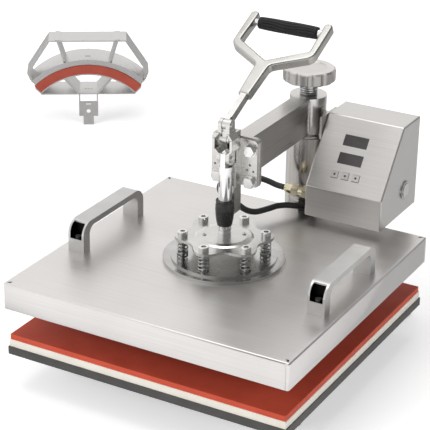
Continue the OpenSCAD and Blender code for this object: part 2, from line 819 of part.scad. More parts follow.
module plunger_rod() color([0.86, 0.86, 0.86]) translate([0, axis_y, 0]) difference() {
    edge = tongue_w / sqrt(2);
    union() {
        translate([0, 0, rod_foot]) cylinder(d = rod_d, h = tongue_base - rod_foot);
        intersection() {
            block(-tongue_w / 2, tongue_w / 2, -rod_d / 2, rod_d / 2, tongue_base, tongue_top);
            translate([0, 0, tongue_base]) cylinder(d = rod_d, h = tongue_top - tongue_base);
        }
        translate([0, 4, tongue_top - tongue_w / 2]) rotate([90, 0, 0]) rotate([0, 0, 45])
            cube([edge, edge, 8]);
    }
    translate([0, 0, rod_foot + 6]) difference() {
        cylinder(d = rod_d + 2, h = 1.6);
        translate([0, 0, -1]) cylinder(d = rod_d - 2, h = 4);
    }
}

module ring_places(r, n, turn) {
    for (i = [0 : n - 1]) rotate([0, 0, turn + i * 360 / n]) translate([r, 0, 0]) children();
}

module star_plate() color([0.8, 0.79, 0.77]) translate([0, axis_y, star_z]) difference() {
    linear_extrude(star_t) polygon([
        for (a = [0 : 5 : 355]) (star_mean + star_wave * cos(6 * (a - bolt_turn))) * [cos(a), sin(a)]
    ]);
    ring_places(bolt_circle, 6, bolt_turn)
        translate([0, 0, -1]) cylinder(r = bolt_d / 2 + air, h = star_t + 2);
}

module hub_plate() color([0.82, 0.81, 0.79]) translate([0, axis_y, star_top]) {
    difference() {
        rotate_extrude() polygon([
            [0, 0], [hub_r, 0], [hub_r - 3, hub_t * 0.7],
            [hub_r - 8, hub_t], [rod_d / 2 + 4, hub_t], [0, hub_t]
        ]);
        translate([0, 0, rod_foot - star_top]) cylinder(d = rod_d, h = hub_t + 5);
    }
    ring_places(hub_screw_r, 2, hub_screw_turn) translate([0, 0, hub_t]) difference() {
        cylinder(r = 2.6, h = 1.2);
        translate([0, 0, 0.4]) cylinder(r = 1.4, h = 2, $fn = 6);
    }
}

// Platen

module rounded_slab(w, r, z, h) {
    half = w / 2;
    block(-half, half, r - half, half - r, z, z + h);
    block(r - half, half - r, -half, half, z, z + h);
    at_corners(half - r) translate([0, 0, z]) cylinder(r = r, h = h);
}

module handle_screw_places() {
    for (sx = [-1, 1], y = [side_foot / 2 - side_len / 2 - 1, side_len / 2 - side_foot / 2 + 1])
        translate([sx * handle_x, y - 5, 0]) children();
}

module platen_cover() color([0.8, 0.79, 0.78]) difference() {
    rounded_slab(cover_w, 2, cover_z, cover_h);
    slab(cover_w - 2 * cover_wall, cover_z - 1, cover_h - cover_wall + 1);
    handle_screw_places() translate([0, 0, cover_top - 5]) cylinder(d = 4, h = 10);
}

module heating_plate() color([0.75, 0.75, 0.76])
    slab(cover_w - 2 * cover_wall - 2 * air, cover_z, heater_t);

module insulation() color([0.9, 0.88, 0.8])
    slab(cover_w - 2 * cover_wall - 6, cover_z + heater_t, cover_h - cover_wall - heater_t);

module mount_disc() color([0.8, 0.79, 0.77]) translate([0, axis_y, cover_top]) difference() {
    union() {
        cylinder(r = disc_r, h = disc_t, $fn = 96);
        cylinder(r = ring_r, h = disc_t + ring_t, $fn = 96);
    }
    ring_places(bolt_circle, 6, bolt_turn) translate([0, 0, 1]) cylinder(d = bolt_d, h = 20);
}

module bolt_places() {
    translate([0, axis_y, 0]) ring_places(bolt_circle, 6, bolt_turn) children();
}

module suspension_bolts() color([0.82, 0.82, 0.82]) bolt_places() difference() {
    union() {
        translate([0, 0, cover_top + 1]) cylinder(d = bolt_d, h = star_top - cover_top);
        translate([0, 0, star_top]) rotate_extrude() polygon([
            [0, 0], [bolt_head_d / 2, 0], [bolt_head_d / 2, bolt_head_h - 0.8],
            [bolt_head_d / 2 - 0.8, bolt_head_h], [0, bolt_head_h]
        ]);
    }
    translate([0, 0, star_top + 2.4]) cylinder(r = 3.4, h = 10, $fn = 6);
}

function coil(r, z0, z1, turns, steps) = [
    for (i = [0 : turns * steps]) let (a = 360 * i / steps)
        [r * cos(a), r * sin(a), z0 + (z1 - z0) * i / (turns * steps)]
];

module suspension_springs() color([0.6, 0.6, 0.6]) bolt_places()
    tube(
        coil((spring_d - spring_wire) / 2, ring_top + spring_wire / 2,
            star_z - spring_wire / 2, spring_turns, 10),
        spring_wire / 2, 6, [0, 1, 0], [0, 1, 0]
    );

module side_profile() {
    h = side_len / 2;
    ro = 18;
    ri = 11;
    bar = 7.5;
    difference() {
        union() {
            translate([-h, 0]) square([side_len, side_h - ro]);
            translate([ro - h, 0]) square([side_len - 2 * ro, side_h]);
            for (s = [-1, 1]) translate([s * (h - ro), side_h - ro]) circle(r = ro);
        }
        difference() {
            translate([side_foot - h, -1]) square([side_len - 2 * side_foot, side_h - bar + 1]);
            for (s = [-1, 1]) translate([s * (h - side_foot), side_h - bar]) difference() {
                translate([-ri, -ri]) square(2 * ri);
                translate([-s * ri, -ri]) circle(r = ri);
                translate([-2 * ri, -2 * ri]) square([4 * ri, ri]);
                translate([s > 0 ? -3 * ri : ri, -2 * ri]) square([2 * ri, 4 * ri]);
                translate([s > 0 ? -3 * ri : ri, -ri]) square([2 * ri, 2 * ri]);
            }
        }
    }
}

module side_handle() color([0.7, 0.7, 0.69]) translate([0, -5, cover_top]) difference() {
    translate([-side_w / 2, 0, 0]) rotate([90, 0, 90]) linear_extrude(side_w) side_profile();
    for (s = [-1, 1]) {
        y = s * (side_len / 2 - side_foot + 3);
        block(-side_w / 2 + 3, side_w / 2 - 3, min(y, s * side_len), max(y, s * side_len), 17, side_h + 1);
        translate([0, s * (side_len / 2 - side_foot / 2 + 1), -1]) cylinder(d = 4, h = 20);
    }
}

module handle_left() translate([-handle_x, 0, 0]) side_handle();

module handle_right() translate([handle_x, 0, 0]) side_handle();

module handle_screws() color([0.4, 0.4, 0.4]) handle_screw_places() {
    translate([0, 0, cover_top - cover_wall]) cylinder(d = 4, h = 17 + cover_wall);
    translate([0, 0, cover_top + 17]) cylinder(d = 7.5, h = 3);
}

module cable_hood() color([0.1, 0.1, 0.1])
    plate(hood_x, hood_y + hood_d / 2, hood_w, hood_d, cover_top, cover_top + hood_h);

// Cap attachment

module cap_place() {
    translate([-cap_x, cap_y, 0]) rotate([0, 0, cap_turn]) children();
}

module arch2d(r0, r1, half_angle) {
    difference() {
        circle(r = r1, $fn = 160);
        circle(r = r0, $fn = 160);
        for (s = [-1, 1]) rotate(s * half_angle) translate([s > 0 ? -big : 0, -big]) square([big, 2 * big]);
        translate([-big, -big]) square([2 * big, big]);
    }
}

module cap_arch(r0, r1, half_angle, depth) {
    translate([0, depth / 2, cap_centre]) rotate([90, 0, 0]) linear_extrude(depth) arch2d(r0, r1, half_angle);
}

module cap_pad() color([0.72, 0.28, 0.2]) cap_place() cap_arch(cap_inner, cap_r, cap_angle, cap_depth);

module cap_form() color([0.7, 0.69, 0.68]) cap_place() {
    difference() {
        cap_arch(cap_inner - cap_sheet, cap_inner + cap_lip,
            cap_angle + atan(cap_sheet / cap_inner), cap_depth);
        cap_arch(cap_inner, cap_r, cap_angle, cap_depth + 2);
    }
    difference() {
        plate(0, 0, 2 * cap_inner * sin(cap_angle), cap_depth, cap_stem_h, cap_stem_h + cap_sheet);
        for (x = [-5, 0, 5]) translate([x, cap_front + 24, cap_stem_h - 1])
            cylinder(r = 1.5, h = cap_sheet + 2);
    }
}

module cap_bracket() color([0.62, 0.61, 0.6]) cap_place() {
    half = cap_stem_w / 2;
    wall = half - cap_sheet;
    difference() {
        union() {
            plate(0, cap_front + cap_sheet / 2, cap_tongue_w, cap_sheet, 0, cap_tongue_h);
            block(-half, half, cap_front, cap_front + cap_sheet, cap_tongue_h, cap_web_top);
            sides() block(wall, half, cap_front, cap_front + cap_stem_d, cap_tongue_h, cap_stem_h);
        }
        rod_y(0, cap_front - 1, cap_front + cap_sheet + 1, cap_web_top - 18, 3.5);
        plate(0, cap_front, 9, 3 * cap_sheet, cap_web_top - 6, cap_web_top - 4);
    }
    sides() translate([0, cap_depth / 2, 0]) rotate([90, 0, 0]) linear_extrude(cap_depth) intersection() {
        polygon([
            [wall, cap_stem_h + cap_sheet], [wall + cap_arm_t, cap_stem_h + cap_sheet],
            [wall + cap_arm_t + cap_arm_run[0], cap_stem_h + cap_sheet + cap_arm_run[1]],
            [wall + cap_arm_run[0], cap_stem_h + cap_sheet + cap_arm_run[1]]
        ]);
        translate([0, cap_centre]) circle(r = cap_inner - cap_sheet, $fn = 160);
    }
}

module cap_heater() color([0.72, 0.71, 0.7]) cap_place() difference() {
    band = cap_shell_r - cap_shell_t;
    union() {
        cap_arch(cap_r + air, band, cap_angle - 1, cap_depth - 4);
        cap_arch(band, cap_shell_r, cap_angle - 1, cap_depth);
    }
    plate(0, cap_front + 20, 9, 2.5, cap_centre + band, cap_centre + cap_shell_r + 1);
}

module cap_bridge() color([0.76, 0.75, 0.74]) cap_place() {
    depth = cap_depth - 10;
    top = cap_bridge_z + cap_sheet;
    a = cap_angle - 2.5;
    foot = [cap_shell_r * sin(a), cap_centre + cap_shell_r * cos(a)];
    strut_z = cap_centre + sqrt(cap_shell_r * cap_shell_r - cap_strut_x * cap_strut_x) - 3;
    block(-cap_bridge_half, cap_bridge_half, -depth / 2, depth / 2, cap_bridge_z, top);
    sides() translate([0, depth / 2, 0]) rotate([90, 0, 0]) linear_extrude(depth) difference() {
        union() {
            polygon([[cap_bridge_half - 2, cap_bridge_z], [cap_bridge_half, top],
                [cap_half, cap_strap_z], [cap_half - 3, cap_strap_z - 1]]);
            polygon([[cap_half - 3, cap_strap_z - 1], [cap_half, cap_strap_z],
                [foot[0] + 5, foot[1] - 1], [foot[0] + 2, foot[1] - 3], foot]);
            polygon([[cap_strut_top, cap_bridge_z], [cap_strut_top + 3, cap_bridge_z],
                [cap_strut_x + 2, strut_z], [cap_strut_x - 1, strut_z]]);
            polygon([[cap_tab[0], top], [cap_tab[1], top], [cap_tab[1], top + 2], [cap_tab[0], top + 0.8]]);
        }
        translate([0, cap_centre]) circle(r = cap_shell_r, $fn = 160);
    }
}

base_frame();
rubber_feet();
tray_standoffs();
lower_tray();
sponge_layer();
silicone_pad();
post();
post_bolts();
post_bushes();
swing_shaft();
shaft_key();
knob();
spindle();
arm_sleeve();
sleeve_cap();
arm_beam();
arm_end_plate();
clamp_bracket();
clamp_bolts();
pivot_pin();
rod_barrel();
box_bracket();
box_shell();
box_back();
box_screws();
display_windows();
circuit_board();
power_bezel();
cable_gland();
power_inlet();
heater_cable();
key(0);  // key_left
key(1);  // key_middle
key(2);  // key_right
power_button();
lever();
hand_frame();
grip_rod();
grip();
link_left();
link_right();
link_pins();
plunger_rod();
star_plate();
hub_plate();
platen_cover();
heating_plate();
insulation();
mount_disc();
suspension_bolts();
suspension_springs();
handle_left();
handle_right();
handle_screws();
cable_hood();
cap_form();
cap_pad();
cap_bracket();
cap_heater();
cap_bridge();
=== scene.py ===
import bpy
import bmesh
import math
from mathutils import Matrix, Vector
from mathutils.geometry import tessellate_polygon


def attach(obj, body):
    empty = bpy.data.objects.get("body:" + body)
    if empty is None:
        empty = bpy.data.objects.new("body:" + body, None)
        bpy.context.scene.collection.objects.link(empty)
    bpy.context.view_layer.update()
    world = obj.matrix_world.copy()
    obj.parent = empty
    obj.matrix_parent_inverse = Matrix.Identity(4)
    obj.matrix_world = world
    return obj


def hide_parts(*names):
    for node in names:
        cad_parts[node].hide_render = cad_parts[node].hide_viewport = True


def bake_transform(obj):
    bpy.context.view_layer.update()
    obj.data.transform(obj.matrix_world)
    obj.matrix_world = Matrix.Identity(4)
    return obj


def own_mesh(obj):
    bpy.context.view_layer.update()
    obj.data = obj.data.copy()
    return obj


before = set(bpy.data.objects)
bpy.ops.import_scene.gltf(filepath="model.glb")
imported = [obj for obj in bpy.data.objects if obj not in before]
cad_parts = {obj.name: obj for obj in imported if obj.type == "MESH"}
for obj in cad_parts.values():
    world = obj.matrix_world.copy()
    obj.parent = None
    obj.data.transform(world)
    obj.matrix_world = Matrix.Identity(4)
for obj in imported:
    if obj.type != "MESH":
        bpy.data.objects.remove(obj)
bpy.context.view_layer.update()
mm = 0.001

# camera, set up as in the photo
viewCamera = {
    "place": (0.8972, -1.6291, 1.0449),
    "turn": 29.138,      # degrees round the press, from its front
    "tilt": 24.246,      # degrees looking down
    "roll": 0.887,
    "lens": 138.06,
    "sensor": 36.0,
}


def makeCamera(spec):
    turn = math.radians(spec["turn"])
    tilt = math.radians(spec["tilt"])
    roll = math.radians(spec["roll"])
    back = Vector((math.sin(turn) * math.cos(tilt), -math.cos(turn) * math.cos(tilt), math.sin(tilt)))
    right = Vector((math.cos(turn), math.sin(turn), 0.0))
    up = right.cross(-back)
    sideways = right * math.cos(roll) + up * math.sin(roll)
    upwards = up * math.cos(roll) - right * math.sin(roll)
    turned = Matrix((sideways, upwards, back)).transposed().to_4x4()
    data = bpy.data.cameras.new("viewCamera")
    data.lens = spec["lens"]
    data.sensor_width = spec["sensor"]
    data.clip_start = 0.05
    data.clip_end = 60.0
    camera = bpy.data.objects.new("viewCamera", data)
    camera.matrix_world = Matrix.Translation(spec["place"]) @ turned
    bpy.context.scene.collection.objects.link(camera)
    bpy.context.scene.camera = camera
    return camera


makeCamera(viewCamera)


# small mesh helpers, all in metres
def addObject(name, mesh):
    thing = bpy.data.objects.new(name, mesh)
    bpy.context.scene.collection.objects.link(thing)
    return thing


def meshFrom(name, points, faces):
    mesh = bpy.data.meshes.new(name)
    mesh.from_pydata([tuple(p) for p in points], [], faces)
    mesh.update()
    for face in mesh.polygons:
        face.use_smooth = True
    return mesh


def joinClose(mesh, distance):
    # points that lie on each other become one
    clean = bmesh.new()
    clean.from_mesh(mesh)
    bmesh.ops.remove_doubles(clean, verts=clean.verts, dist=distance)
    clean.to_mesh(mesh)
    clean.free()


def leverPlace(pivot, angle):
    # from flat lever measures, in millimetres, to the place of the lever at rest
    return Matrix.Translation(Vector(pivot)) @ Matrix.Rotation(math.radians(angle), 4, "X")


def smoothRoute(route, steps):
    # rounds a route of points with a spline through all of them
    points = [Vector(p) for p in route]
    ends = [2 * points[0] - points[1]] + points + [2 * points[-1] - points[-2]]
    fine = []
    for i in range(1, len(ends) - 2):
        a, b, c, d = ends[i - 1], ends[i], ends[i + 1], ends[i + 2]
        for k in range(steps):
            t = k / steps
            fine.append(0.5 * (2 * b + (c - a) * t + (2 * a - 5 * b + 4 * c - d) * t * t
                               + (3 * b - a - 3 * c + d) * t ** 3))
    fine.append(points[-1])
    return fine


def tubeParts(route, radius, sides, upHint=(0, 0, 1), radiusAt=None):
    # rings round a route, turned with it and never twisted
    points = []
    faces = []
    u = None
    for i, here in enumerate(route):
        ahead = (route[min(i + 1, len(route) - 1)] - route[max(i - 1, 0)]).normalized()
        if u is None:
            u = Vector(upHint).cross(ahead).normalized()
        u = (u - ahead * u.dot(ahead)).normalized()
        v = ahead.cross(u)
        r = radiusAt(i) if radiusAt else radius
        for k in range(sides):
            a = 2 * math.pi * k / sides
            points.append(here + r * (math.cos(a) * u + math.sin(a) * v))
    for i in range(len(route) - 1):
        for k in range(sides):
            n = (k + 1) % sides
            faces.append((i * sides + k, i * sides + n, (i + 1) * sides + n, (i + 1) * sides + k))
    faces.append(tuple(range(sides - 1, -1, -1)))
    last = (len(route) - 1) * sides
    faces.append(tuple(range(last, last + sides)))
    return points, faces


# heater cable, from the gland on the box to the hood on the platen
heaterCable = {
    "diameter": 8.0,
    "sides": 20,
    "steps": 6,
    "bendFrom": 0.190,   # heights in metres between which it bends as the platen drops
    "bendTo": 0.162,
    # points in millimetres
    "route": [
        (1.5, 168, 183), (-12, 168, 184), (-26, 166, 188), (-40, 162, 191), (-54, 156, 192),
        (-66, 147, 191), (-73, 135, 188), (-73, 123, 185), (-65, 113, 181), (-52, 108, 179),
        (-39, 106, 175), (-26, 109, 167), (-16, 118, 163), (-8, 136, 162), (-1, 152, 162),
        (8, 163, 161), (18, 171, 159), (23, 178, 157), (24, 183, 157),
    ],
}


def makeCable(spec):
    route = smoothRoute([Vector(p) * mm for p in spec["route"]], spec["steps"])
    points, faces = tubeParts(route, spec["diameter"] / 2 * mm, spec["sides"])
    cable = addObject("cableRun", meshFrom("cableRun", points, faces))
    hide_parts("heater_cable")
    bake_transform(cable)
    return cable


cableRun = makeCable(heaterCable)


# finishes
def newFinish(name, **constants):
    finish = bpy.data.materials.new(name)
    finish.use_nodes = True
    nodes = finish.node_tree.nodes
    links = finish.node_tree.links
    shader = nodes["Principled BSDF"]
    for socket, value in constants.items():
        shader.inputs[socket.replace("_", " ")].default_value = value
    return finish, nodes, links, shader


def grainNoise(nodes, links, stretch, scale, detail=3.0, roughness=0.5):
    place = nodes.new("ShaderNodeTexCoord")
    mapping = nodes.new("ShaderNodeMapping")
    mapping.inputs["Scale"].default_value = stretch
    noise = nodes.new("ShaderNodeTexNoise")
    noise.inputs["Scale"].default_value = scale
    noise.inputs["Detail"].default_value = detail
    noise.inputs["Roughness"].default_value = roughness
    links.new(place.outputs["Object"], mapping.inputs["Vector"])
    links.new(mapping.outputs["Vector"], noise.inputs["Vector"])
    return noise.outputs["Fac"]


def toned(nodes, links, amount, stops):
    ramp = nodes.new("ShaderNodeValToRGB")
    ramp.color_ramp.elements[0].position = stops[0][0]
    ramp.color_ramp.elements[0].color = (*stops[0][1], 1)
    ramp.color_ramp.elements[1].position = stops[-1][0]
    ramp.color_ramp.elements[1].color = (*stops[-1][1], 1)
    for position, colour in stops[1:-1]:
        ramp.color_ramp.elements.new(position).color = (*colour, 1)
    links.new(amount, ramp.inputs["Fac"])
    return ramp.outputs["Color"]


def ranged(nodes, links, amount, low, high):
    reach = nodes.new("ShaderNodeMapRange")
    reach.inputs["From Min"].default_value = 0.3
    reach.inputs["From Max"].default_value = 0.7
    reach.inputs["To Min"].default_value = low
    reach.inputs["To Max"].default_value = high
    links.new(amount, reach.inputs["Value"])
    return reach.outputs["Result"]


def mixed(nodes, links, first, second, share):
    blend = nodes.new("ShaderNodeMix")
    blend.data_type = "RGBA"
    blend.blend_type = "MULTIPLY"
    blend.inputs["Factor"].default_value = share
    links.new(first, blend.inputs["A"])
    links.new(second, blend.inputs["B"])
    return blend.outputs["Result"]


def bumped(nodes, links, shader, amount, strength, distance=0.0003):
    bump = nodes.new("ShaderNodeBump")
    bump.inputs["Strength"].default_value = strength
    bump.inputs["Distance"].default_value = distance
    links.new(amount, bump.inputs["Height"])
    links.new(bump.outputs["Normal"], shader.inputs["Normal"])


def brushedSheet(name, stretch, dark, light, rough, bump=0.12, metal=1.0):
    # long streaks along one direction over a broad cloudy tone
    finish, nodes, links, shader = newFinish(name, Metallic=metal)
    fine = grainNoise(nodes, links, stretch, 1.0, 4.0, 0.6)
    broad = grainNoise(nodes, links, (1, 1, 1), 9.0, 2.0)
    tone = toned(nodes, links, fine, [(0.3, dark), (0.7, light)])
    cloud = toned(nodes, links, broad, [(0.3, (0.93, 0.925, 0.92)), (0.7, (1, 1, 1))])
    links.new(mixed(nodes, links, tone, cloud, 1.0), shader.inputs["Base Color"])
    links.new(ranged(nodes, links, fine, rough[0], rough[1]), shader.inputs["Roughness"])
    bumped(nodes, links, shader, fine, bump)
    return finish


def castMetal(name, dark, light, rough, scale=500.0, bump=0.15, metal=1.0):
    finish, nodes, links, shader = newFinish(name, Metallic=metal)
    fine = grainNoise(nodes, links, (1, 1, 1), scale, 3.0)
    broad = grainNoise(nodes, links, (1, 1, 1), 30.0, 2.0)
    tone = toned(nodes, links, broad, [(0.3, dark), (0.7, light)])
    links.new(tone, shader.inputs["Base Color"])
    links.new(ranged(nodes, links, broad, rough[0], rough[1]), shader.inputs["Roughness"])
    bumped(nodes, links, shader, fine, bump)
    return finish


def paintedShadeHollows(name, dark, light, rough, reach, height, inner, scale, bump):
    # cast metal with painted shade near both ends, the hollows coloured near black; all measures in metres
    # from the middle of the press:
    # reach along (middle, from, to), height (from, to) and inner across (place, half width)
    finish = castMetal(name, dark, light, rough, scale, bump)
    nodes = finish.node_tree.nodes
    links = finish.node_tree.links
    shader = nodes["Principled BSDF"]
    place = nodes.new("ShaderNodeTexCoord")
    apart = nodes.new("ShaderNodeSeparateXYZ")
    links.new(place.outputs["Object"], apart.inputs["Vector"])

    def step(socket, operation, value):
        node = nodes.new("ShaderNodeMath")
        node.operation = operation
        links.new(socket, node.inputs[0])
        if isinstance(value, float):
            node.inputs[1].default_value = value
        else:
            links.new(value, node.inputs[1])
        return node.outputs["Value"]

    def absolute(socket, centre):
        moved = step(socket, "SUBTRACT", centre)
        node = nodes.new("ShaderNodeMath")
        node.operation = "ABSOLUTE"
        links.new(moved, node.inputs[0])
        return node.outputs["Value"]

    across = step(absolute(absolute(apart.outputs["X"], 0.0), inner[0]), "LESS_THAN", inner[1])
    along = step(absolute(apart.outputs["Y"], reach[0]), "LESS_THAN", reach[2])
    beyond = step(absolute(apart.outputs["Y"], reach[0]), "GREATER_THAN", reach[1])
    above = step(apart.outputs["Z"], "GREATER_THAN", height[0])
    below = step(apart.outputs["Z"], "LESS_THAN", height[1])
    inside = step(step(step(step(across, "MULTIPLY", along), "MULTIPLY", beyond), "MULTIPLY", above),
                  "MULTIPLY", below)
    # painted shade: inside the hollows the colour is swapped for near black
    base = shader.inputs["Base Color"].links[0].from_socket
    shadeMix = nodes.new("ShaderNodeMix")
    shadeMix.data_type = "RGBA"
    shadeMix.inputs["B"].default_value = (0.008, 0.008, 0.008, 1)
    links.new(inside, shadeMix.inputs["Factor"])
    links.new(base, shadeMix.inputs["A"])
    links.new(shadeMix.outputs["Result"], shader.inputs["Base Color"])
    return finish


def paintedShadeRim(name, dark, light, rough, heights, share):
    # cast metal with painted shade: below the first height the rim is darkened to the given share of its
    # colour, rising to full colour at the second height
    finish = castMetal(name, dark, light, rough, 700.0, 0.12)
    nodes = finish.node_tree.nodes
    links = finish.node_tree.links
    shader = nodes["Principled BSDF"]
    place = nodes.new("ShaderNodeTexCoord")
    apart = nodes.new("ShaderNodeSeparateXYZ")
    links.new(place.outputs["Object"], apart.inputs["Vector"])
    rise = nodes.new("ShaderNodeMapRange")
    rise.inputs["From Min"].default_value = heights[0]
    rise.inputs["From Max"].default_value = heights[1]
    rise.inputs["To Min"].default_value = share
    links.new(apart.outputs["Z"], rise.inputs["Value"])
    base = shader.inputs["Base Color"].links[0].from_socket
    # painted shade: the rim's colour is multiplied down by height
    links.new(mixed(nodes, links, base, rise.outputs["Result"], 1.0), shader.inputs["Base Color"])
    return finish


def softMaterial(name, dark, light, rough, scale, bump, broadScale=40.0, **constants):
    finish, nodes, links, shader = newFinish(name, **constants)
    fine = grainNoise(nodes, links, (1, 1, 1), scale, 4.0, 0.6)
    broad = grainNoise(nodes, links, (1, 1, 1), broadScale, 2.0)
    tone = toned(nodes, links, broad, [(0.3, dark), (0.7, light)])
    speck = toned(nodes, links, fine, [(0.3, (0.9, 0.9, 0.9)), (0.7, (1, 1, 1))])
    links.new(mixed(nodes, links, tone, speck, 1.0), shader.inputs["Base Color"])
    links.new(ranged(nodes, links, fine, rough[0], rough[1]), shader.inputs["Roughness"])
    bumped(nodes, links, shader, fine, bump)
    return finish


steelDark = (0.58, 0.565, 0.55)
steelLight = (0.70, 0.685, 0.67)
finishes = {
    "coverSteel": brushedSheet("coverSteel", (6, 700, 700), (0.69, 0.672, 0.66),
                               (0.77, 0.752, 0.74), (0.30, 0.42)),
    "beamSteel": brushedSheet("beamSteel", (700, 6, 700), steelDark, steelLight, (0.26, 0.38)),
    "postSteel": brushedSheet("postSteel", (700, 700, 8), (0.56, 0.545, 0.53), steelLight,
                              (0.16, 0.26)),
    "boxSteel": brushedSheet("boxSteel", (6, 700, 700), (0.62, 0.605, 0.59), (0.70, 0.685, 0.67),
                             (0.30, 0.42)),
    "bandSteel": castMetal("bandSteel", (0.56, 0.55, 0.54), (0.62, 0.61, 0.60), (0.26, 0.36), 900.0,
                           0.06),
    "platedSteel": castMetal("platedSteel", (0.60, 0.59, 0.57), (0.70, 0.69, 0.67), (0.20, 0.30)),
    "discSteel": castMetal("discSteel", (0.48, 0.475, 0.465), (0.60, 0.595, 0.58), (0.14, 0.22)),
    "brightSteel": castMetal("brightSteel", (0.74, 0.74, 0.73), (0.84, 0.84, 0.83), (0.12, 0.2),
                             900.0, 0.05),
    "springSteel": castMetal("springSteel", (0.42, 0.42, 0.42), (0.60, 0.60, 0.60), (0.16, 0.24),
                             900.0, 0.05),
    "chrome": castMetal("chrome", (0.80, 0.80, 0.80), (0.88, 0.88, 0.88), (0.05, 0.09), 900.0,
                        0.01),
    # the knob's finish darkens its rim with painted shade
    "knobSteelPaintedShade": paintedShadeRim("knobSteelPaintedShade", (0.62, 0.60, 0.58), (0.72, 0.70, 0.68), (0.26, 0.36),
                         (0.3305, 0.3325), 0.62),
    "frameSteel": castMetal("frameSteel", (0.44, 0.43, 0.41), (0.54, 0.53, 0.505), (0.26, 0.36),
                            500.0, 0.15),
    # the handles' finish paints shade into their end hollows
    "handleMetalPaintedShade": paintedShadeHollows("handleMetalPaintedShade", (0.54, 0.535, 0.525), (0.62, 0.615, 0.605),
                              (0.30, 0.40), (-0.005, 0.0595, 0.0706), (0.1632, 0.1825),
                              (0.168, 0.0088), 800.0, 0.2),
    "brass": castMetal("brass", (0.62, 0.56, 0.40), (0.78, 0.72, 0.56), (0.16, 0.26), 600.0, 0.05),
    "plateCoat": castMetal("plateCoat", (0.30, 0.30, 0.31), (0.38, 0.38, 0.39), (0.4, 0.5), 500.0,
                           0.1),
    "blackPaint": softMaterial("blackPaint", (0.040, 0.039, 0.038), (0.062, 0.060, 0.058),
                               (0.38, 0.5), 900.0, 0.15),
    "blackRubber": softMaterial("blackRubber", (0.012, 0.012, 0.012), (0.02, 0.02, 0.02),
                                (0.42, 0.58), 700.0, 0.2),
    "gripRubber": softMaterial("gripRubber", (0.006, 0.006, 0.006), (0.011, 0.011, 0.011),
                               (0.36, 0.46), 700.0, 0.1, Specular_IOR_Level=0.3),
    "blackPlastic": softMaterial("blackPlastic", (0.010, 0.010, 0.010), (0.018, 0.018, 0.018),
                                 (0.22, 0.3), 400.0, 0.04),
    "redSilicone": softMaterial("redSilicone", (0.60, 0.085, 0.045), (0.66, 0.098, 0.053),
                                (0.5, 0.6), 600.0, 0.1, Specular_IOR_Level=0.25),
    "capSilicone": softMaterial("capSilicone", (0.42, 0.068, 0.042), (0.48, 0.085, 0.05),
                                (0.42, 0.55), 600.0, 0.2),
    "creamSponge": softMaterial("creamSponge", (0.88, 0.83, 0.74), (0.94, 0.90, 0.81), (0.7, 0.85),
                                1200.0, 0.4),
    "displayGlass": softMaterial("displayGlass", (0.062, 0.058, 0.058), (0.07, 0.066, 0.066),
                                 (0.16, 0.22), 200.0, 0.01),
    "keyPlastic": softMaterial("keyPlastic", (0.58, 0.57, 0.55), (0.64, 0.63, 0.61), (0.32, 0.42),
                               600.0, 0.05),
    "keyDot": softMaterial("keyDot", (0.03, 0.03, 0.03), (0.045, 0.045, 0.045), (0.3, 0.4), 600.0,
                           0.05),
    "boardGreen": softMaterial("boardGreen", (0.02, 0.14, 0.05), (0.03, 0.2, 0.08), (0.35, 0.5),
                               300.0, 0.1),
}
print("finishes", len(finishes))


def setFinish(thing, finish):
    thing.data.materials.clear()
    thing.data.materials.append(finishes[finish])


setFinish(cableRun, "blackRubber")

